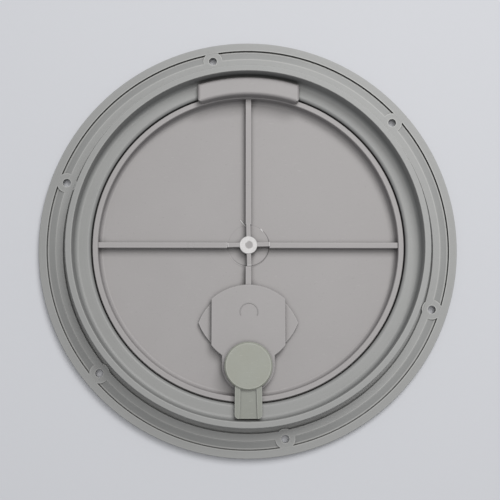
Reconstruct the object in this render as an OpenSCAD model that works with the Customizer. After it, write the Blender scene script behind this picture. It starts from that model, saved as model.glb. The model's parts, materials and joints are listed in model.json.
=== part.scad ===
// Round flush access hatch for a deck, lying face down: +Z points out of the inner side.
// The outer faces of the frame and the lid lie on z = 0, and the origin is their centre.

/* [Opening and frame] */
// Clear width inside the frame's lip
opening_d = 186.2; // [156:0.2:224]
// Width of the upstand that presses on the lid's seal
upstand_w = 2.8; // [2.2:0.1:3.6]
// Width of the drain gutter between the upstand and the collar
gutter_w = 6.5; // [6:0.1:9]
// Wall of the collar
collar_w = 3.7; // [2.5:0.1:5]
// Width of the channel between the collar and the land
channel_w = 4.4; // [3.6:0.1:6]
// Width of the land beside the channel
land_w = 4.5; // [4:0.1:7]
// Width of the shallow groove between the land and the rim
groove_w = 5.3; // [4.6:0.1:8]
// Width of the outer rim
rim_w = 4.7; // [3.6:0.1:8]
// Thickness of the flange, from the outer face to the side that lies on the deck
flange_t = 5; // [4.2:0.1:7]
// Height of the collar above the flange
collar_h = 17.3; // [14:0.1:30]
// How far the flange's domed edge lifts from the outer face
dome_rise = 2.4; // [1.2:0.1:3]
// Height of the gutter above the lid's plate
gutter_h = 5; // [4.4:0.1:7]
// Thickness of the web over the gutter
web_t = 3.7; // [3:0.1:4.8]
// Rounding of the frame's lip
lip_round = 2; // [1:0.1:2.5]
// Plastic left under the channel
channel_floor = 2.4; // [1.8:0.1:3]

/* [Deck screws] */
// Number of deck screws
screw_count = 6; // [4:1:10]
// Radius of a screw's hole
screw_hole_r = 2.4; // [1.9:0.05:2.9]
// Radius of a countersink at the outer face
countersink_r = 4.6; // [3.8:0.1:5.5]
// Radius of the boss round a screw's hole
screw_boss_r = 5.9; // [5.6:0.1:6.4]
// Turn of the screw circle from the lid's ribs
screw_turn = 40.8; // [0:0.1:59]

/* [Lid] */
// Thickness of the lid's plate
plate_t = 2.5; // [2.1:0.1:3]
// Gap between the lid's edge and the frame
edge_gap = 0.6; // [0.4:0.1:1.2]
// Gap between the lid's rim wall and the frame's lip
lip_gap = 0.9; // [0.5:0.1:1.4]
// Thickness of the lid's rim wall
wall_w = 3.2; // [2.4:0.1:4]
// Height of the rim wall, the latch pocket and the spindle boss above the outer face
wall_top = 10; // [9.4:0.1:10.4]
// Width of the cross ribs
rib_w = 3.4; // [2.4:0.1:5]
// Height of the cross ribs above the outer face
rib_top = 8.6; // [5:0.1:9.4]
// Radius of the round field at the lid's centre
field_r = 12.6; // [9:0.1:16]
// Radius of the small boss at the lid's centre
centre_boss_r = 5.3; // [4:0.1:7]
// Number of grip rings in the lid's outer face
grip_rings = 9; // [0:1:12]
// Depth of the grip rings
grip_depth = 0.5; // [0.3:0.1:0.8]

/* [Seal] */
// Depth of the seal's groove in the plate
seal_groove = 0.8; // [0.4:0.1:1]
// Gap left between the seal and the upstand
seal_gap = 0.2; // [0.1:0.05:0.3]

/* [Hook tab] */
// Width of the hook tab, across its straight ends
tab_w = 60.7; // [40:0.1:76]
// Thickness of the hook tab
tab_t = 5; // [3:0.1:6]
// Rounding of the hook tab
tab_round = 1.8; // [0.8:0.1:2.2]

/* [Handle pocket] */
// Width of the pocket's body, outside
pocket_w = 43.6; // [38:0.1:50]
// Length of the pocket's body, outside
pocket_l = 46.3; // [42:0.1:49]
// Radius of the pocket's curved ends, outside: at the spindle and at the far end
pocket_arc_r = [27.7, 32.4]; // [26:0.1:38]
// Plastic left round the pocket
pocket_wall = 2.2; // [1.6:0.1:2.6]
// Radius of the two arcs of the finger scoop, outside
scoop_arc_r = 31.5; // [30:0.1:33.4]
// How far each arc's centre lies from the scoop's centre line
scoop_shift = 10.8; // [9:0.1:12]
// Height of the finger scoop above the outer face
scoop_top = 5.6; // [5:0.1:7]

/* [Latch] */
// Distance of the spindle from the rim wall's inner face
spindle_inset = 18; // [16.5:0.1:22]
// Radius of the spindle boss
spindle_boss_r = 15.5; // [14.6:0.1:17]
// Radius of the rotor's head
head_r = 12.3; // [11.6:0.1:12.7]
// Height of the rotor's head
head_h = 6.4; // [6:0.1:6.6]
// Radius of the rotor's neck, which turns in the lid
neck_r = 6; // [5.8:0.05:6.6]
// Width of the square that drives the tongue
drive_w = 8; // [7:0.1:8.1]
// Thickness of the thrust washer under the tongue
thrust_t = 0.55; // [0.4:0.05:0.6]
// Radius of the tongue's hub
hub_r = 13.2; // [12.6:0.1:13.6]
// How far the tongue's hub rises above its pad
hub_rise = 2.7; // [2.2:0.1:3.6]
// Width of the tongue at the hub and at the tip
tongue_w = [15.4, 15.9]; // [12.5:0.1:18]
// Thickness of the tongue
tongue_t = 2.6; // [2:0.1:3.4]
// Height of the two ribs on the tongue
tongue_rib_h = 1.3; // [0.8:0.1:2]
// Gap between the tongue's tip and the collar
tip_gap = 1.3; // [1:0.1:3]
// Gap between the hook tab or the tongue's pad and the web
hook_gap = 0.3; // [0.2:0.05:0.6]
// Radius of the round cap over the latch screw
cap_r = 13.9; // [13.5:0.1:14.6]
// Height of the cap
cap_h = 3; // [2.8:0.1:4]

/* [Handle] */
// Length of the handle from its pin to its end
handle_l = 42; // [36:0.1:43]
// Width of the handle's grip
grip_w = 20; // [16:0.1:22]
// Width of the handle's root, in the rotor
root_w = 13; // [10:0.1:13.4]
// Thickness of the handle
handle_t = 5; // [4:0.1:5]
// Distance of the handle's pin from the spindle's axis
pin_offset = 5; // [4:0.1:6]
// Radius of the handle's pin
pin_r = 1.5; // [1:0.05:1.7]

/* [Fits] */
// Radial clearance of the neck in the lid and of the handle on its pin
running_gap = 0.05; // [0.02:0.01:0.1]
// Clearance between parts that are fixed together
fixed_gap = 0.02; // [0.01:0.01:0.05]
// Clearance of the handle and the rotor's head in their recesses
free_gap = 0.3; // [0.2:0.05:0.4]

/* [Hidden] */
$fn = 96;
eps = 0.01;
frame_grey = [0.62, 0.62, 0.61];
lid_grey = [0.6, 0.59, 0.6];
latch_green = [0.62, 0.64, 0.6];

// Frame, from the lip outwards
lip_r = opening_d / 2;
upstand_r = lip_r + upstand_w;
collar_in_r = upstand_r + gutter_w;
collar_out_r = collar_in_r + collar_w;
channel_r = collar_out_r + channel_w;
land_r = channel_r + land_w;
groove_r = land_r + groove_w;
flange_r = groove_r + rim_w;
screw_shift = 0.5;
screw_r = land_r + screw_shift;
collar_top = flange_t + collar_h;
gutter_z = plate_t + gutter_h;
web_top = gutter_z + web_t;
boss_drop = 0.1;
edge_round = 0.5;
root_round = 2.4;
channel_round = 0.8;
fine_edge = 0.3;
groove_depth = 1.4;
groove_ledge = 0.5;
groove_slope = 1.4;
slit_w = 0.6;
slit_depth = 2.5;

// Seal between the lid's plate and the upstand
seal_z = plate_t - seal_groove;
seal_h = 2.3;
upstand_z = seal_z + seal_h + seal_gap;
seal_inset = 0.3;
seal_in_r = lip_r + seal_inset;
seal_out_r = upstand_r - seal_inset;
seal_side_gap = 0.05;
seal_bevel = 0.5;

// Lid
lid_r = collar_in_r - edge_gap;
wall_out_r = lip_r - lip_gap;
wall_in_r = wall_out_r - wall_w;
wall_edge = 0.4;
wall_root = 2.2;
plate_edge = 0.5;
grip_ring_w = 2.4;
grip_pitch = 7;
rib_overlap = 0.5;
rib_edge = 0.3;
pocket_edge = 0.4;
hook_z = web_top + hook_gap;
tab_in_r = wall_in_r + 0.7;
tab_out_r = collar_in_r - tip_gap - 0.4;
tab_neck = 1;
tab_corner = 2.6;
tab_bevel = 0.6;

// Insert of the mould at the lid's centre: it left its ribs a little turned, shifted and raised
insert_turn = 1.3;
insert_shift = [0.2, 0.3];
insert_tilt = 0.5;
field_rise = 0.18;
insert_rib_w = rib_w - 0.7;
insert_rise = 0.25;
lip_rise = 0.25;
lip_l = 0.6;
gate_rise = 0.6;
gate_hole_r = 2.5;
gate_depth = 0.15;

// Latch, along its own axis
spindle_y = -(wall_in_r - spindle_inset);
head_z = 0.2;
bore_r = head_r + free_gap;
bore_z = head_z + head_h + free_gap;
neck_bore_r = neck_r + running_gap;
thrust_z = wall_top + running_gap;
hub_z = thrust_z + thrust_t;
hub_top = hook_z + hub_rise;
hub_h = hub_top - hub_z;
arm_z = hook_z + 0.5;
arm_from = -9;
tip_r = 2.4;
pad_from = 2.5;
pad_l = 6;
tongue_l = collar_in_r - tip_gap + spindle_y;
o_ring_r = 0.65;
o_ring_z = (bore_z + wall_top) / 2;
o_ring_groove_h = 1.6;
thrust_inset = 1.2;
drive_gap = 0.1;
tongue_rib_w = [3.6, 2.7];

// Latch screw, its washer and the well in the hub that holds them
part_gap = 0.1;
screw_seat = hub_top - 1.6;
well_r = 6.4;
washer_r = 5.9;
washer_t = 0.8;
screw_shank_r = 2;
screw_head_r = 3.8;
screw_head_h = 2.2;
cross_slot = [4, 0.8, 1.2];
pilot_z = head_z + head_h + 0.4;

// Cap: a skirt under it sits in a ring-shaped groove in the hub
cap_edge = 0.8;
cap_hollow_r = 9;
cap_roof = 1.2;
skirt_r = [11, 12];
skirt_h = 1;

// Pocket and handle
pocket_from_spindle = 24.4;
pocket_y = spindle_y + pocket_from_spindle;
pocket_z = wall_top - pocket_wall;
boss_reach = 16;
scoop_y = pocket_y + 0.7;
scoop_roof = 2;
pin_y = spindle_y - pin_offset;
handle_z = 0.4;
pin_z = handle_z + handle_t / 2;
slot_w = root_w + 2 * free_gap;
slot_z = handle_z + handle_t + free_gap;
slot_end = 0.5;
pin_end_gap = 0.6;
pin_l = 2 * (sqrt(head_r * head_r - pin_offset * pin_offset) - pin_end_gap);
grip_end_r = 7;
grip_from = 16;
grip_flare = 7;
hollow_from = 20;
hollow_depth = 2;
hollow_wall = 2.6;
groove_from = 24;
groove_pitch = 4;
groove_size = [1.6, 0.6];

// Points along an arc, for the profiles that are turned
function arc(cx, cy, r, from, to, steps = 6) =
    [for (i = [0:steps]) let (a = from + (to - from) * i / steps) [cx + r * cos(a), cy + r * sin(a)]];

// Dome of the flange: its height over a radius that starts at the flat part of the outer face
dome_start = land_r + 1;
dome_r = (pow(flange_r - dome_start, 2) + pow(dome_rise, 2)) / (2 * dome_rise);
function dome(r) = dome_r - sqrt(dome_r * dome_r - pow(r - dome_start, 2));

module ring(outer, inner, h) {
    difference() {
        cylinder(r = outer, h = h);
        translate([0, 0, -eps]) cylinder(r = inner, h = h + 2 * eps);
    }
}

// A disc with a chamfer round its upper edge
module edged_disc(r, h, edge) {
    rotate_extrude() polygon([[0, 0], [r, 0], [r, h - edge], [r - edge, h], [0, h]]);
}

// A block along Y with a chamfer on both upper edges
module edged_block(w, l, h, edge) {
    translate([0, l / 2, 0]) rotate([90, 0, 0]) linear_extrude(l)
        polygon([[-w / 2, 0], [w / 2, 0], [w / 2, h - edge], [w / 2 - edge, h],
            [edge - w / 2, h], [-w / 2, h - edge]]);
}

module frame_section() {
    polygon(concat(
        [[collar_in_r, edge_round], [collar_in_r + edge_round, 0]],
        [for (i = [0:6]) let (r = dome_start + (flange_r - dome_start) * i / 6) [r, dome(r)]],
        arc(flange_r - edge_round, flange_t - edge_round, edge_round, 0, 90, 4),
        [[groove_r, flange_t], [groove_r, flange_t - slit_depth], [groove_r - slit_w, flange_t - slit_depth],
            [groove_r - slit_w, flange_t - groove_depth], [groove_r - groove_slope, flange_t - groove_depth],
            [land_r + groove_ledge, flange_t - groove_ledge], [land_r, flange_t - groove_ledge],
            [land_r, flange_t], [channel_r + fine_edge, flange_t], [channel_r, flange_t - fine_edge]],
        arc(channel_r - channel_round, channel_floor + channel_round, channel_round, 0, -90, 3),
        arc(collar_out_r + channel_round, channel_floor + channel_round, channel_round, 270, 180, 3),
        arc(collar_out_r - edge_round, collar_top - edge_round, edge_round, 0, 90, 4),
        arc(collar_in_r + edge_round, collar_top - edge_round, edge_round, 90, 180, 4),
        arc(collar_in_r - root_round, web_top + root_round, root_round, 0, -90),
        arc(lip_r + lip_round, web_top - lip_round, lip_round, 90, 180),
        [[lip_r, upstand_z], [upstand_r, upstand_z], [upstand_r, gutter_z], [collar_in_r, gutter_z]]));
}

module at_screws() {
    for (i = [0:screw_count - 1])
        rotate(screw_turn + i * 360 / screw_count) translate([screw_r, 0, 0]) children();
}

module frame() {
    color(frame_grey) difference() {
        union() {
            rotate_extrude() frame_section();
            at_screws() translate([0, 0, channel_floor / 2])
                cylinder(r = screw_boss_r, h = flange_t - boss_drop - channel_floor / 2);
        }
        at_screws() translate([0, 0, -eps]) {
            cylinder(r = screw_hole_r, h = flange_t + 2 * eps);
            cylinder(r1 = countersink_r, r2 = screw_hole_r, h = countersink_r - screw_hole_r);
        }
    }
}

// Plate and rim wall of the lid, with grip rings in the outer face
module lid_section() {
    difference() {
        polygon(concat(
            [[0, 0], [lid_r - plate_edge, 0], [lid_r, plate_edge],
                [lid_r, plate_t - fine_edge], [lid_r - fine_edge, plate_t],
                [seal_out_r, plate_t], [seal_out_r, seal_z], [seal_in_r, seal_z], [seal_in_r, plate_t],
                [wall_out_r, plate_t], [wall_out_r, wall_top - wall_edge], [wall_out_r - wall_edge, wall_top],
                [wall_in_r + wall_edge, wall_top], [wall_in_r, wall_top - wall_edge]],
            arc(wall_in_r - wall_root, plate_t + wall_root, wall_root, 0, -90, 4),
            [[0, plate_t]]));
        for (i = [1:1:grip_rings])
            translate([lid_r - grip_pitch * i - grip_ring_w, -eps])
                square([grip_ring_w, grip_depth + eps]);
    }
}

// Four ribs from the round field at the centre to the rim wall
module cross_ribs() {
    rib_l = wall_in_r + rib_overlap - field_r;
    for (a = [0:90:270]) rotate(a) translate([0, field_r + rib_l / 2, plate_t - eps])
        edged_block(rib_w, rib_l, rib_top - plate_t, rib_edge);
}

// Round field with narrower ribs, a raised lip at the end of three of them and a boss in the middle
module centre_field() {
    rib_h = rib_top + insert_rise - plate_t;
    translate([0, 0, plate_t / 2]) rotate([-insert_tilt, -insert_tilt, 0])
        cylinder(r = field_r, h = plate_t / 2 + field_rise);
    translate([0, 0, plate_t - eps]) edged_disc(centre_boss_r, rib_top + gate_rise - plate_t, rib_edge);
    translate([insert_shift[0], insert_shift[1], plate_t - eps]) rotate(insert_turn) {
        for (a = [0:90:270]) rotate(a) translate([0, field_r / 2, 0])
            edged_block(insert_rib_w, field_r, rib_h, rib_edge);
        for (a = [90:90:270]) rotate(a) translate([0, field_r - lip_l / 2, 0])
            edged_block(insert_rib_w, lip_l, rib_h + lip_rise, rib_edge / 2);
    }
}

// Body of the pocket: two curved ends between straight sides
module pocket_solid(inset, h, edge) {
    translate([0, pocket_y, 0]) intersection() {
        edged_block(pocket_w - 2 * inset, pocket_l + 2, h, edge);
        translate([0, pocket_arc_r[0] - pocket_l / 2, 0]) edged_disc(pocket_arc_r[0] - inset, h, edge);
        translate([0, pocket_l / 2 - pocket_arc_r[1], 0]) edged_disc(pocket_arc_r[1] - inset, h, edge);
    }
}

// Finger scoop: a lens with its points to the left and the right
module scoop_solid(inset, h, edge) {
    translate([0, scoop_y, 0]) intersection() {
        translate([0, scoop_shift, 0]) edged_disc(scoop_arc_r - inset, h, edge);
        translate([0, -scoop_shift, 0]) edged_disc(scoop_arc_r - inset, h, edge);
    }
}

// Boss of the spindle, with straight sides that run into the pocket's body
module spindle_boss() {
    translate([0, spindle_y, 0]) {
        edged_disc(spindle_boss_r, wall_top, pocket_edge);
        translate([0, boss_reach / 2, 0])
            edged_block(2 * spindle_boss_r, boss_reach, wall_top, pocket_edge);
    }
}

module sector(inner, outer, half_angle) {
    difference() {
        circle(r = outer);
        circle(r = inner);
        rotate(half_angle) translate([-2 * outer, 0]) square([4 * outer, 2 * outer]);
        rotate(-half_angle) translate([-2 * outer, -2 * outer]) square([4 * outer, 2 * outer]);
    }
}

// Outline of the hook tab: a curved bar with straight ends and rounded corners
module tab_plan() {
    corner_x = tab_w / 2 - tab_corner;
    mid_r = (tab_in_r + tab_out_r) / 2;
    outer_at = tab_out_r - tab_corner;
    inner_at = tab_in_r + tab_corner;
    outer_angle = asin(corner_x / outer_at);
    inner_angle = asin(corner_x / inner_at);
    inner_y = inner_at * cos(inner_angle);
    outer_y = outer_at * cos(outer_angle);
    rotate(90) {
        sector(mid_r - eps, tab_out_r, outer_angle);
        sector(tab_in_r, mid_r + eps, inner_angle);
        translate([inner_y, -tab_w / 2]) square([outer_y - inner_y, tab_w]);
        for (side = [-1, 1]) {
            rotate(side * outer_angle) translate([outer_at, 0]) circle(r = tab_corner);
            rotate(side * inner_angle) translate([inner_at, 0]) circle(r = tab_corner);
        }
    }
}

// Section of the tab or of its width, with both upper edges rounded and a bevel under the far end
module tab_section(w, bevel) {
    polygon(concat(
        [[0, 0], [w - bevel, 0], [w, bevel]],
        arc(w - tab_round, tab_t - tab_round, tab_round, 0, 90, 5),
        arc(tab_round, tab_t - tab_round, tab_round, 90, 180, 5)));
}

// Tab that hooks behind the frame's web, and the neck that joins it to the rim wall
module hook_tab() {
    neck_z = wall_top - tab_neck;
    translate([0, 0, hook_z]) intersection() {
        rotate_extrude() translate([tab_in_r, 0]) tab_section(tab_out_r - tab_in_r, tab_bevel);
        linear_extrude(tab_t + 1) intersection() {
            tab_plan();
            translate([-tab_w / 2, 0]) square([tab_w, 2 * tab_out_r]);
        }
        translate([-tab_w / 2, 2 * tab_out_r, 0]) rotate([90, 0, 0])
            linear_extrude(2 * tab_out_r) tab_section(tab_w, eps);
    }
    intersection() {
        translate([0, 0, neck_z]) ring(wall_out_r, tab_in_r, hook_z - neck_z + eps);
        linear_extrude(hook_z + 1) tab_plan();
    }
}

module lid() {
    color(lid_grey) difference() {
        union() {
            rotate_extrude() lid_section();
            cross_ribs();
            centre_field();
            hook_tab();
            pocket_solid(0, wall_top, pocket_edge);
            scoop_solid(0, scoop_top, rib_edge);
            spindle_boss();
        }
        translate([0, 0, -eps]) {
            pocket_solid(pocket_wall, pocket_z, eps);
            scoop_solid(pocket_wall, scoop_top - scoop_roof, eps);
            translate([0, spindle_y, 0]) cylinder(r = bore_r, h = bore_z);
        }
        translate([0, spindle_y, 0]) cylinder(r = neck_bore_r, h = wall_top + 1);
        translate([0, 0, rib_top + gate_rise - gate_depth]) cylinder(r = gate_hole_r, h = 1);
    }
}

module lid_seal() {
    inner = seal_in_r + seal_side_gap;
    outer = seal_out_r - seal_side_gap;
    color("dimgray") translate([0, 0, seal_z]) rotate_extrude() polygon(concat(
        [[inner, 0], [outer, 0], [outer, seal_h - seal_bevel], [outer - seal_bevel, seal_h]],
        [[inner + seal_bevel, seal_h], [inner, seal_h - seal_bevel]]));
}

module latch_rotor() {
    color(latch_green) translate([0, spindle_y, 0]) difference() {
        union() {
            translate([0, 0, head_z]) cylinder(r = head_r, h = head_h);
            translate([0, 0, head_z]) cylinder(r = neck_r, h = hub_z - head_z);
            translate([-drive_w / 2, -drive_w / 2, head_z])
                cube([drive_w, drive_w, screw_seat - drive_gap - head_z]);
        }
        translate([-slot_w / 2, -pin_offset - handle_t / 2 - slot_end, -eps])
            cube([slot_w, 2 * head_r, slot_z + eps]);
        translate([0, -pin_offset, pin_z]) rotate([0, 90, 0])
            cylinder(r = pin_r + fixed_gap, h = 4 * head_r, center = true);
        translate([0, 0, pilot_z]) cylinder(r = screw_shank_r + fixed_gap, h = hub_top);
        translate([0, 0, o_ring_z - o_ring_groove_h / 2])
            ring(neck_r + 1, neck_r - 2 * o_ring_r - running_gap, o_ring_groove_h);
    }
}

module spindle_seal() {
    color("black") translate([0, spindle_y, o_ring_z]) rotate_extrude()
        translate([neck_r - o_ring_r, 0]) circle(r = o_ring_r, $fn = 32);
}

module thrust_washer() {
    color("white") translate([0, spindle_y, thrust_z])
        ring(hub_r - thrust_inset, neck_r + free_gap, thrust_t);
}

// Outline of the tongue, from the hub to its rounded tip
module tongue_plan() {
    hull() {
        translate([-tongue_w[0] / 2, arm_from]) square([tongue_w[0], 1]);
        for (side = [-1, 1])
            translate([side * (tongue_w[1] / 2 - tip_r), tip_r - tongue_l]) circle(r = tip_r, $fn = 32);
    }
}

module cam_tongue() {
    color(latch_green) translate([0, spindle_y, 0]) difference() {
        union() {
            translate([0, 0, hub_z]) cylinder(r = hub_r, h = hub_h);
            translate([0, 0, arm_z]) linear_extrude(tongue_t) tongue_plan();
            translate([0, 0, hook_z]) intersection() {
                linear_extrude(1) tongue_plan();
                translate([-tongue_w[1], pad_from - tongue_l, 0]) cube([2 * tongue_w[1], pad_l, 1]);
            }
            translate([0, 0, arm_z]) linear_extrude(tongue_t + tongue_rib_h) difference() {
                tongue_plan();
                polygon([[tongue_rib_w[0] - tongue_w[0] / 2, 0], [tongue_w[0] / 2 - tongue_rib_w[0], 0],
                    [tongue_w[1] / 2 - tongue_rib_w[1], -tongue_l - 1],
                    [tongue_rib_w[1] - tongue_w[1] / 2, -tongue_l - 1]]);
            }
        }
        translate([0, 0, screw_seat]) cylinder(r = well_r, h = 2 * tongue_t);
        translate([-drive_w / 2 - running_gap, -drive_w / 2 - running_gap, 0])
            cube([drive_w + 2 * running_gap, drive_w + 2 * running_gap, hub_top]);
        translate([0, 0, hub_top - skirt_h - part_gap])
            ring(skirt_r[1] + part_gap, skirt_r[0] - part_gap, 2 * tongue_t);
        translate([0, 0, hub_top]) cylinder(r = cap_r + fixed_gap, h = 2 * tongue_t);
    }
}

module screw_washer() {
    color("silver") translate([0, spindle_y, screw_seat])
        ring(washer_r, screw_shank_r + part_gap, washer_t);
}

module latch_screw() {
    head_at = screw_seat + washer_t;
    color("silver") translate([0, spindle_y, 0]) difference() {
        union() {
            translate([0, 0, pilot_z + free_gap]) cylinder(r = screw_shank_r, h = head_at - pilot_z);
            translate([0, 0, head_at]) edged_disc(screw_head_r, screw_head_h, edge_round);
        }
        for (a = [0, 90]) rotate(a)
            translate([-cross_slot[0] / 2, -cross_slot[1] / 2, head_at + screw_head_h - cross_slot[2]])
                cube(cross_slot + [0, 0, 1]);
    }
}

module cam_cap() {
    color(latch_green) translate([0, spindle_y, hub_top]) {
        difference() {
            edged_disc(cap_r, cap_h, cap_edge);
            translate([0, 0, -eps]) cylinder(r = cap_hollow_r, h = cap_h - cap_roof + eps);
        }
        translate([0, 0, -skirt_h]) ring(skirt_r[1], skirt_r[0], skirt_h + eps);
    }
}

module handle_pin() {
    color("silver") translate([0, pin_y, pin_z]) rotate([0, 90, 0])
        cylinder(r = pin_r, h = pin_l, center = true);
}

// Outline of the handle from its root in the rotor to its rounded grip
module handle_plan() {
    wide = grip_w / 2;
    end_at = handle_l - grip_end_r;
    translate([-root_w / 2, 0]) square([root_w, end_at]);
    polygon([[-root_w / 2, grip_from], [root_w / 2, grip_from], [wide, grip_from + grip_flare],
        [wide, end_at], [-wide, end_at], [-wide, grip_from + grip_flare]]);
    translate([grip_end_r - wide, end_at]) square([grip_w - 2 * grip_end_r, grip_end_r]);
    for (side = [-1, 1]) translate([side * (wide - grip_end_r), end_at]) circle(r = grip_end_r);
}

module turn_handle() {
    color(lid_grey) translate([0, pin_y, handle_z]) difference() {
        union() {
            linear_extrude(handle_t) handle_plan();
            translate([0, 0, handle_t / 2]) rotate([0, 90, 0])
                cylinder(r = handle_t / 2, h = root_w, center = true);
        }
        translate([0, 0, handle_t / 2]) rotate([0, 90, 0])
            cylinder(r = pin_r + running_gap, h = 2 * root_w, center = true);
        for (y = [groove_from:groove_pitch:handle_l - grip_end_r + 1])
            translate([hollow_wall - grip_w / 2, y, -eps])
                cube([grip_w - 2 * hollow_wall, groove_size[0], groove_size[1]]);
        translate([hollow_wall - grip_w / 2, hollow_from, handle_t - hollow_depth])
            cube([grip_w - 2 * hollow_wall, handle_l - hollow_from - grip_end_r + 1, handle_t]);
    }
}

frame();
lid();
lid_seal();
latch_rotor();
spindle_seal();
thrust_washer();
cam_tongue();
screw_washer();
latch_screw();
cam_cap();
handle_pin();
turn_handle();
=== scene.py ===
import json
import math

import bpy
from mathutils import Matrix, Vector


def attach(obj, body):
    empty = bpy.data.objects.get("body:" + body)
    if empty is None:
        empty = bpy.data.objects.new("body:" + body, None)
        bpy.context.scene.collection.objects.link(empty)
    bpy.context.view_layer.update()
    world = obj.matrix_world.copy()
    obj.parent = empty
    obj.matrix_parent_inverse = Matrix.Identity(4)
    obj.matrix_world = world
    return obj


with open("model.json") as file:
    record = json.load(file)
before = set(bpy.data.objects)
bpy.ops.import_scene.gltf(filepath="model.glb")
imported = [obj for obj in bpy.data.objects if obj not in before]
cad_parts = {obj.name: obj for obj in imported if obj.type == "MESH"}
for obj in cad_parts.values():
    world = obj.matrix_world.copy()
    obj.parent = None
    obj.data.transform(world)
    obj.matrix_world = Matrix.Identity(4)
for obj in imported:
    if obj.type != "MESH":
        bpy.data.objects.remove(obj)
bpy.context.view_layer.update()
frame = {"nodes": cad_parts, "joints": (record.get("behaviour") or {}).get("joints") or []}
nodes = frame["nodes"]
jointAt = {joint["name"]: Vector(joint["pos_m"]) for joint in frame["joints"]}
print("frame loaded:", len(nodes), "nodes")


cameraSetup = {
    "place": (-0.0055, -0.0624, 0.5392), "aim": (0.0010, -0.0025, 0.005),
    "lens": 64.8, "sensor": 36.0,
}
roomSetup = {
    "floorSize": 6.0,
    "floorDrop": 0.0003,  # keeps the floor clear of the faces that rest on it
    "floorColour": (0.525, 0.533, 0.562),
    "skyColour": (0.93, 0.96, 1.0),
    "skyStrength": 0.29,
}
lampSetup = [
    {"name": "windowLight", "place": (0.42, 0.78, 1.35), "size": (0.7, 0.7), "watts": 15.5,
     "colour": (1.0, 0.995, 0.985)},
    {"name": "ceilingLight", "place": (0.1, 0.1, 1.7), "size": (1.1, 1.1), "watts": 14.5,
     "colour": (1.0, 0.985, 0.96)},
]


def aimAt(thing, place, target):
    # looks from place to target, with the row frame's +Y upwards in its view
    back = (Vector(place) - Vector(target)).normalized()
    side = Vector((0, 1, 0)).cross(back).normalized()
    turn = Matrix((side, back.cross(side), back)).transposed()
    thing.matrix_world = Matrix.Translation(place) @ turn.to_4x4()


def makeCamera(setup):
    data = bpy.data.cameras.new("camera")
    data.sensor_width = setup["sensor"]
    data.lens = setup["lens"]
    camera = bpy.data.objects.new("camera", data)
    bpy.context.scene.collection.objects.link(camera)
    aimAt(camera, setup["place"], setup["aim"])
    bpy.context.scene.camera = camera


def makeLamp(setup):
    data = bpy.data.lights.new(setup["name"], "AREA")
    data.shape = "RECTANGLE"
    data.size, data.size_y = setup["size"]
    data.energy = setup["watts"]
    data.color = setup["colour"]
    lamp = bpy.data.objects.new(setup["name"], data)
    bpy.context.scene.collection.objects.link(lamp)
    aimAt(lamp, setup["place"], (0, 0, 0))


def makeSky(setup):
    world = bpy.data.worlds.new("sky")
    world.use_nodes = True
    background = world.node_tree.nodes["Background"]
    background.inputs["Color"].default_value = (*setup["skyColour"], 1)
    background.inputs["Strength"].default_value = setup["skyStrength"]
    bpy.context.scene.world = world


makeCamera(cameraSetup)
makeSky(roomSetup)
for lampFacts in lampSetup:
    makeLamp(lampFacts)
bpy.context.scene.view_settings.view_transform = "Standard"
print("camera and lights set")


class Wire:
    # one output socket; sums and products on it add Math nodes, or Vector Math nodes for colours and places
    def __init__(self, finish, socket):
        self.finish = finish
        self.socket = socket

    def isVector(self):
        return self.socket.type in ("VECTOR", "RGBA")

    def join(self, operation, first, second):
        vectors = any(isinstance(x, Wire) and x.isVector() for x in (first, second))
        kind = "ShaderNodeVectorMath" if vectors else "ShaderNodeMath"
        if vectors:
            first, second = [x if isinstance(x, (Wire, tuple)) else (x, x, x) for x in (first, second)]
        return self.finish.node(kind, {"operation": operation}, {0: first, 1: second})

    def __add__(self, other):
        return self.join("ADD", self, other)

    def __radd__(self, other):
        return self.join("ADD", other, self)

    def __sub__(self, other):
        return self.join("SUBTRACT", self, other)

    def __rsub__(self, other):
        return self.join("SUBTRACT", other, self)

    def __mul__(self, other):
        return self.join("MULTIPLY", self, other)

    def __rmul__(self, other):
        return self.join("MULTIPLY", other, self)


class Finish:
    # one material and the nodes that make it
    def __init__(self, name):
        self.material = bpy.data.materials.new(name)
        self.material.use_nodes = True
        self.tree = self.material.node_tree
        self.shader = self.tree.nodes["Principled BSDF"]

    def feed(self, socket, value):
        if isinstance(value, Wire):
            self.tree.links.new(value.socket, socket)
        elif isinstance(value, tuple) and socket.type == "RGBA":
            socket.default_value = (*value, 1) if len(value) == 3 else value
        else:
            socket.default_value = value

    def node(self, kind, settings=None, sockets=None, out=0):
        made = self.tree.nodes.new(kind)
        for key, value in (settings or {}).items():
            setattr(made, key, value)
        for key, value in (sockets or {}).items():
            self.feed(made.inputs[key], value)
        return Wire(self, made.outputs[out])

    def place(self):
        return self.node("ShaderNodeTexCoord", out="Object")

    def noise(self, place, size, detail=2.0, roughness=0.5):
        # size is the width of one patch, in metres
        return self.node("ShaderNodeTexNoise", None,
                         {"Vector": place, "Scale": 1 / size, "Detail": detail, "Roughness": roughness})

    def ramp(self, value, low, high):
        return self.node("ShaderNodeMapRange", {"interpolation_type": "SMOOTHSTEP"},
                         {"Value": value, "From Min": low, "From Max": high})

    def mix(self, amount, first, second):
        made = self.tree.nodes.new("ShaderNodeMix")
        made.data_type = "RGBA"
        sockets = {s.identifier: s for s in made.inputs}
        self.feed(sockets["Factor_Float"], amount)
        self.feed(sockets["A_Color"], first)
        self.feed(sockets["B_Color"], second)
        return Wire(self, [s for s in made.outputs if s.identifier == "Result_Color"][0])

    def bump(self, height, distance, under=None):
        sockets = {"Height": height, "Distance": distance, "Strength": 1.0}
        if under:
            sockets["Normal"] = under
        return self.node("ShaderNodeBump", None, sockets)

    def finishWith(self, **sockets):
        names = {"colour": "Base Color", "roughness": "Roughness", "metallic": "Metallic",
                 "specular": "Specular IOR Level", "normal": "Normal"}
        for key, value in sockets.items():
            self.feed(self.shader.inputs[names[key]], value)
        return self.material


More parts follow.
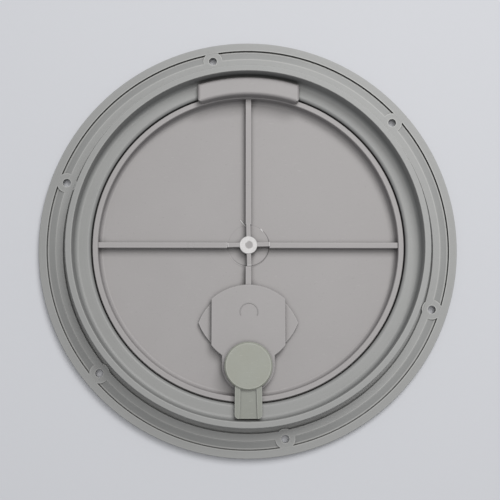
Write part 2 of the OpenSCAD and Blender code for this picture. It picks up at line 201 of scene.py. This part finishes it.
def creaseOf(finish, reach, inside=False):
    # 0 in the open, up to 1 deep in a crease, or on an outer edge if inside is set
    shade = finish.node("ShaderNodeAmbientOcclusion", {"samples": 8, "inside": inside, "only_local": inside},
                        {"Distance": reach}, out="AO")
    return 1 - shade


def radiusOf(finish, place, centre=(0, 0, 0)):
    # distance from an upright axis
    flat = (place - tuple(centre)) * (1, 1, 0)
    return finish.node("ShaderNodeVectorMath", {"operation": "LENGTH"}, {0: flat}, out="Value")


def along(finish, place, direction):
    # how far a place lies in one direction
    return finish.node("ShaderNodeVectorMath", {"operation": "DOT_PRODUCT"},
                       {0: place, 1: direction}, out="Value")


def circleLine(finish, place, centre, radius, width=0.0004):
    # 1 on a thin upright circle, fading out on both sides
    reach = radiusOf(finish, place, centre)
    return finish.ramp(reach, radius - width, radius) * (1 - finish.ramp(reach, radius, radius + width))


def heightOf(finish, place):
    return finish.node("ShaderNodeSeparateXYZ", None, {"Vector": place}, out="Z")


plasticFacts = {
    "speckSize": 0.0011, "speckFrom": 0.70, "speckTo": 0.76,
    "scuffSize": 0.004, "scuffFrom": 0.62, "scuffTo": 0.74, "scuffStretch": (1, 5, 1),
    "creaseShadeFrom": 0.12, "creaseShadeTo": 0.85, "edgeHighlightFrom": 0.04, "edgeHighlightTo": 0.30,
    "cloudGloss": 0.12, "grainGloss": 0.16,
}


def mouldedPlastic(name, facts):
    # what all the moulded plastics share: clouding, grain, specks, scuffs, painted shade in creases and
    # painted highlights on outer edges
    finish = Finish(name)
    place = finish.place()
    facts = {**plasticFacts, **facts}
    cloud = finish.noise(place, facts["cloudSize"], 3.0)
    grain = finish.noise(place, facts["grainSize"], 2.0, 0.6)
    speck = finish.ramp(finish.noise(place, facts["speckSize"], 1.0), facts["speckFrom"], facts["speckTo"])
    colour = finish.mix(cloud, facts["dark"], facts["light"])
    colour = finish.mix(grain * facts["grainTint"], colour, facts["dark"])
    colour = finish.mix(speck * facts["speckTint"], colour, facts["speckColour"])
    streaks = finish.noise(place * facts["scuffStretch"], facts["scuffSize"], 4.0, 0.65)
    scuff = finish.ramp(streaks, facts["scuffFrom"], facts["scuffTo"])
    # scuffs are wear, in the same pale colour as the painted edge highlight
    colour = finish.mix(scuff * facts["scuffTint"], colour, facts["scuffAndHighlightColour"])
    # painted shade: the colour darkens where ambient occlusion finds a crease, corner or recess
    creaseShade = finish.ramp(creaseOf(finish, facts["creaseShadeReach"]), facts["creaseShadeFrom"], facts["creaseShadeTo"])
    colour = finish.mix(creaseShade * facts["creaseShadeTint"], colour, facts["paintedShadeColour"])
    # painted highlight: outer edges are lightened where ambient occlusion from inside finds an edge
    edgeHighlight = finish.ramp(creaseOf(finish, facts["edgeHighlightReach"], True), facts["edgeHighlightFrom"], facts["edgeHighlightTo"])
    colour = finish.mix(edgeHighlight * (0.5 + grain) * facts["edgeHighlightTint"], colour, facts["scuffAndHighlightColour"])
    roughness = facts["roughness"] + (cloud - 0.5) * facts["cloudGloss"] + (grain - 0.5) * facts["grainGloss"]
    wave = finish.bump(finish.noise(place, facts["waveSize"], 1.0), facts["waveDepth"])
    normal = finish.bump(grain, facts["grainDepth"], wave)
    return finish, place, colour, roughness, normal


frameFacts = {
    "dark": (0.222, 0.225, 0.223), "light": (0.273, 0.276, 0.273), "speckColour": (0.14, 0.14, 0.135),
    "cloudSize": 0.030, "grainSize": 0.0007, "grainTint": 0.18, "speckTint": 0.25,
    "roughness": 0.44, "waveSize": 0.012, "waveDepth": 0.00008, "grainDepth": 0.00002,
    "ringSize": 0.0011, "ringTint": 0.30, "ringDepth": 0.00003,
    "lampSide": (0.70, 0.50, 0), "sideShadeTint": 0.25, "sideShadeColour": (0.150, 0.150, 0.146),
    "creaseShadeReach": 0.0024, "creaseShadeTint": 0.90, "paintedShadeColour": (0.052, 0.052, 0.050),
    "edgeHighlightReach": 0.0008, "edgeHighlightTint": 0.55, "scuffAndHighlightColour": (0.42, 0.42, 0.41),
    "scuffTint": 0.22,
}
lidFacts = {
    "dark": (0.250, 0.239, 0.240), "light": (0.304, 0.291, 0.292), "speckColour": (0.15, 0.145, 0.145),
    "cloudSize": 0.035, "grainSize": 0.0006, "grainTint": 0.15, "speckTint": 0.2,
    "roughness": 0.52, "waveSize": 0.02, "waveDepth": 0.00006, "grainDepth": 0.000018,
    "gateRadius": 0.0054, "gateEdge": 0.0006, "gateHeight": 0.0090, "gateColour": (0.60, 0.59, 0.59),
    "gateMiddle": (0.0004, 0.0002, 0), "gateHole": (0.0022, 0.0031), "gateRagged": 0.0022,
    "lipHeight": 0.0089, "lipTint": 0.30, "lipReach": 0.0145,
    "partingMiddle": (0.0002, 0.0003, 0), "partingRadius": 0.0123, "partingShadeTint": 0.55,
    "partingShadedSide": (0.75, -0.65, 0), "partingTop": 0.0035, "partingDepth": 0.00025,
    "hoopMiddle": (0.0004, -0.0396, 0), "hoopRadius": 0.0052, "hoopOpen": (-0.0030, -0.0015),
    "hoopShadeTint": 0.42, "flashHighlight": 0.75,
    "creaseShadeReach": 0.0048, "creaseShadeTint": 0.85, "paintedShadeColour": (0.056, 0.052, 0.053),
    "edgeHighlightReach": 0.0008, "edgeHighlightTint": 0.55, "scuffAndHighlightColour": (0.43, 0.415, 0.415),
    "scuffTint": 0.22,
}
latchFacts = {
    "dark": (0.198, 0.203, 0.165), "light": (0.242, 0.254, 0.226), "speckColour": (0.13, 0.14, 0.12),
    "cloudSize": 0.012, "grainSize": 0.0006, "grainTint": 0.15, "speckTint": 0.2,
    "roughness": 0.38, "waveSize": 0.008, "waveDepth": 0.00005, "grainDepth": 0.000012,
    "creaseShadeReach": 0.0024, "creaseShadeTint": 0.90, "paintedShadeColour": (0.052, 0.052, 0.050),
    "edgeHighlightReach": 0.0012, "edgeHighlightTint": 0.60, "scuffAndHighlightColour": (0.50, 0.51, 0.47),
    "scuffTint": 0.22,
}
shadedTongueFacts = {  # the same plastic as the cap, painted darker as shade since the tongue lies lower beside the cap; its painted edge highlight is weaker
    **latchFacts, "dark": (0.160, 0.168, 0.147), "light": (0.200, 0.209, 0.184),
    "edgeHighlightReach": 0.0006, "edgeHighlightTint": 0.18,
}


def framePlastic(facts):
    # the mould was turned on a lathe, and its faint rings show in the moulding
    finish, place, colour, roughness, normal = mouldedPlastic("framePlastic", facts)
    rings = finish.noise(radiusOf(finish, place), facts["ringSize"], 1.0)
    patches = finish.noise(place, 0.02, 2.0)
    colour = finish.mix(finish.ramp(rings, 0.45, 0.75) * patches * facts["ringTint"], colour, facts["light"])
    # painted shade: the frame is darker towards the south-west, the side away from the lamps, with a patchy
    # border
    side = along(finish, place, facts["lampSide"])
    sideShade = 1 - finish.ramp(side + patches * 0.04, -0.10, 0.12)
    colour = finish.mix(sideShade * facts["sideShadeTint"], colour, facts["sideShadeColour"])
    return finish.finishWith(colour=colour, roughness=roughness + rings * 0.06,
                             normal=finish.bump(rings, facts["ringDepth"], normal))


def lidPlastic(facts):
    # the cut gate at the lid's centre is stressed white
    finish, place, colour, roughness, normal = mouldedPlastic("lidPlastic", facts)
    edge = finish.noise(place, facts["gateRagged"], 2.0) * facts["gateRagged"] - 0.0007
    gateEnd = facts["gateRadius"] + facts["gateEdge"]
    near = 1 - finish.ramp(radiusOf(finish, place) + edge, facts["gateRadius"], gateEnd)
    high = finish.ramp(heightOf(finish, place), facts["gateHeight"] - 0.0002, facts["gateHeight"])
    hollow = finish.ramp(radiusOf(finish, place, facts["gateMiddle"]) + edge, *facts["gateHole"])
    streak = 1 - finish.noise(place, 0.0012, 3.0) * 0.55
    lips = finish.ramp(heightOf(finish, place), facts["lipHeight"], facts["lipHeight"] + 0.0001) * (1 - near)
    lips = lips * (1 - finish.ramp(radiusOf(finish, place), facts["lipReach"], facts["lipReach"] + 0.0005))
    colour = finish.mix(lips * facts["lipTint"], colour, facts["gateColour"])
    colour = finish.mix(near * high * hollow * streak, colour, facts["gateColour"])
    # painted shade: a thin dark line on the low step round the centre insert, darkest on its south-east side
    # away from the lamps, with a faint groove bumped along it
    line = circleLine(finish, place, facts["partingMiddle"], facts["partingRadius"])
    side = along(finish, place, facts["partingShadedSide"])
    low = 1 - finish.ramp(heightOf(finish, place), facts["partingTop"], facts["partingTop"] + 0.001)
    grooveShade = (finish.ramp(side, -0.008, 0.013) * 0.8 + finish.noise(place, 0.005, 1.0) * 0.35) * low
    colour = finish.mix(line * grooveShade * facts["partingShadeTint"], colour, facts["paintedShadeColour"])
    # painted shade: a dark line along the northern part of the ejector's horseshoe ridge
    hoop = circleLine(finish, place, facts["hoopMiddle"], facts["hoopRadius"])
    north = along(finish, place - facts["hoopMiddle"], (0, 1, 0))
    arch = finish.ramp(north, *facts["hoopOpen"])
    colour = finish.mix(hoop * arch * facts["hoopShadeTint"], colour, facts["paintedShadeColour"])
    normal = finish.bump(1 - line * grooveShade, facts["partingDepth"], normal)
    return finish.finishWith(colour=colour, roughness=roughness, normal=normal)


def flashPlastic(facts):
    # thin flash is painted paler than the lid, a painted highlight where light catches its ridge
    finish, place, colour, roughness, normal = mouldedPlastic("flashPlastic", facts)
    colour = finish.mix(facts["flashHighlight"], colour, facts["gateColour"])
    return finish.finishWith(colour=colour, roughness=roughness, normal=normal)


def latchPlastic(name, facts):
    finish, place, colour, roughness, normal = mouldedPlastic(name, facts)
    return finish.finishWith(colour=colour, roughness=roughness, normal=normal)


steelFacts = {"dark": (0.46, 0.46, 0.45), "light": (0.62, 0.62, 0.61), "roughness": 0.28}
rubberFacts = {"dark": (0.012, 0.012, 0.012), "light": (0.03, 0.03, 0.03), "roughness": 0.62}
washerFacts = {"dark": (0.62, 0.61, 0.58), "light": (0.72, 0.71, 0.68), "roughness": 0.4}


def turnedSteel(facts):
    # fine rings left by the lathe round the latch's axis
    finish = Finish("turnedSteel")
    place = finish.place()
    rings = finish.noise(radiusOf(finish, place, jointAt["latch_turn"]), 0.00025, 1.0)
    stain = finish.noise(place, 0.003, 3.0)
    colour = finish.mix(stain, facts["dark"], facts["light"])
    return finish.finishWith(colour=colour, metallic=1.0, roughness=facts["roughness"] + rings * 0.18,
                             normal=finish.bump(rings, 0.00001))


def softRubber(facts):
    # dull rubber with a bloom of pale dust
    finish = Finish("softRubber")
    place = finish.place()
    dust = finish.noise(place, 0.004, 4.0, 0.6)
    colour = finish.mix(dust, facts["dark"], facts["light"])
    return finish.finishWith(colour=colour, roughness=facts["roughness"] + dust * 0.2,
                             normal=finish.bump(finish.noise(place, 0.0006), 0.00002))


def whiteNylon(facts):
    finish = Finish("whiteNylon")
    place = finish.place()
    cloud = finish.noise(place, 0.004, 3.0)
    return finish.finishWith(colour=finish.mix(cloud, facts["dark"], facts["light"]),
                             roughness=facts["roughness"] + cloud * 0.15,
                             normal=finish.bump(finish.noise(place, 0.0005), 0.00001))


def tableTop(facts):
    # matt laminate with a barely visible mottle
    finish = Finish("tableTop")
    place = finish.place()
    mottle = finish.noise(place, 0.006, 4.0, 0.7)
    dark = tuple(0.985 * c for c in facts["floorColour"])
    colour = finish.mix(mottle, dark, facts["floorColour"])
    return finish.finishWith(colour=colour, roughness=0.8, specular=0.25,
                             normal=finish.bump(finish.noise(place, 0.0015, 2.0), 0.00002))


finishes = {
    "framePlastic": framePlastic(frameFacts),
    "lidPlastic": lidPlastic(lidFacts),
    "flashPlastic": flashPlastic(lidFacts),
    "latchPlastic": latchPlastic("latchPlastic", latchFacts),
    "tonguePlastic": latchPlastic("tonguePlastic", shadedTongueFacts),
    "turnedSteel": turnedSteel(steelFacts),
    "softRubber": softRubber(rubberFacts),
    "whiteNylon": whiteNylon(washerFacts),
}
finishOfNode = {
    "frame": "framePlastic", "lid": "lidPlastic", "turn_handle": "lidPlastic",
    "latch_rotor": "latchPlastic", "cam_tongue": "tonguePlastic", "cam_cap": "latchPlastic",
    "lid_seal": "softRubber", "spindle_seal": "softRubber", "thrust_washer": "whiteNylon",
    "screw_washer": "turnedSteel", "latch_screw": "turnedSteel", "handle_pin": "turnedSteel",
}
for nodeName, finishName in finishOfNode.items():
    slots = nodes[nodeName].data.materials
    slots.clear()
    slots.append(finishes[finishName])
print("finishes given to the frame's nodes")


def makeFloor(facts):
    half = facts["floorSize"] / 2
    mesh = bpy.data.meshes.new("floor")
    corners = [(-half, -half, 0), (half, -half, 0), (half, half, 0), (-half, half, 0)]
    mesh.from_pydata(corners, [], [(0, 1, 2, 3)])
    floor = bpy.data.objects.new("floor", mesh)
    floor.location.z = -facts["floorDrop"]
    bpy.context.scene.collection.objects.link(floor)
    mesh.materials.append(tableTop(facts))


makeFloor(roomSetup)
print("floor laid")


markFacts = {
    "horseshoe": {"radius": 0.0052, "east": 0.0004, "north": 0.0314, "from": -20, "to": 200, "steps": 40,
                  "ridge": 0.00036},
    "flash": {"ridge": 0.00042, "lines": [[(-0.0048, 0.0158), (-0.0033, 0.0139), (-0.0016, 0.0121)],
                                          [(0.0073, 0.0106), (0.0079, 0.0098), (0.0086, 0.0088)]]},
    "ribJoints": {"ridge": 0.00016, "lines": [[(-0.0015, 0.0368), (0.0, 0.0371), (0.0015, 0.0368)],
                                              [(-0.0359, -0.0014), (-0.0358, 0.0), (-0.0359, 0.0014)],
                                              [(-0.0325, -0.0014), (-0.0326, 0.0), (-0.0325, 0.0014)]]},
}


def ridgeAlong(name, points, ridge, body, finishName):
    # a low rounded ridge along a list of places
    curve = bpy.data.curves.new(name, "CURVE")
    curve.dimensions = "3D"
    curve.bevel_depth = ridge
    curve.bevel_resolution = 3
    curve.use_fill_caps = True
    spline = curve.splines.new("POLY")
    spline.points.add(len(points) - 1)
    for target, point in zip(spline.points, points):
        target.co = (*point, 1)
    piece = bpy.data.objects.new(name, curve)
    bpy.context.scene.collection.objects.link(piece)
    curve.materials.append(finishes[finishName])
    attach(piece, body)


def surfaceHeight(node, x, y):
    # height of a CAD node's upper side under one place
    _, where, _, _ = nodes[node].ray_cast(Vector((x, y, 1)), Vector((0, 0, -1)))
    return where.z


def ejectorMark(facts):
    # the horseshoe left by an ejector on the back of the handle pocket
    mark = facts["horseshoe"]
    centreY = jointAt["latch_turn"].y + mark["north"]
    top = surfaceHeight("lid", mark["east"], centreY)
    angles = [math.radians(mark["from"] + (mark["to"] - mark["from"]) * i / mark["steps"])
              for i in range(mark["steps"] + 1)]
    points = [(mark["east"] + mark["radius"] * math.cos(a), centreY + mark["radius"] * math.sin(a), top)
              for a in angles]
    ridgeAlong("ejectorMark", points, mark["ridge"], "lid", "lidPlastic")


def flashMarks(kind, facts, finishName):
    # thin flash beside the mould's centre insert, or where two parts of a rib meet
    for number, line in enumerate(facts["lines"]):
        points = [(x, y, surfaceHeight("lid", x, y)) for x, y in line]
        ridgeAlong(f"{kind}{number}", points, facts["ridge"], "lid", finishName)


ejectorMark(markFacts)
flashMarks("flashMark", markFacts["flash"], "flashPlastic")
flashMarks("ribJoint", markFacts["ribJoints"], "lidPlastic")
print("moulding marks made")
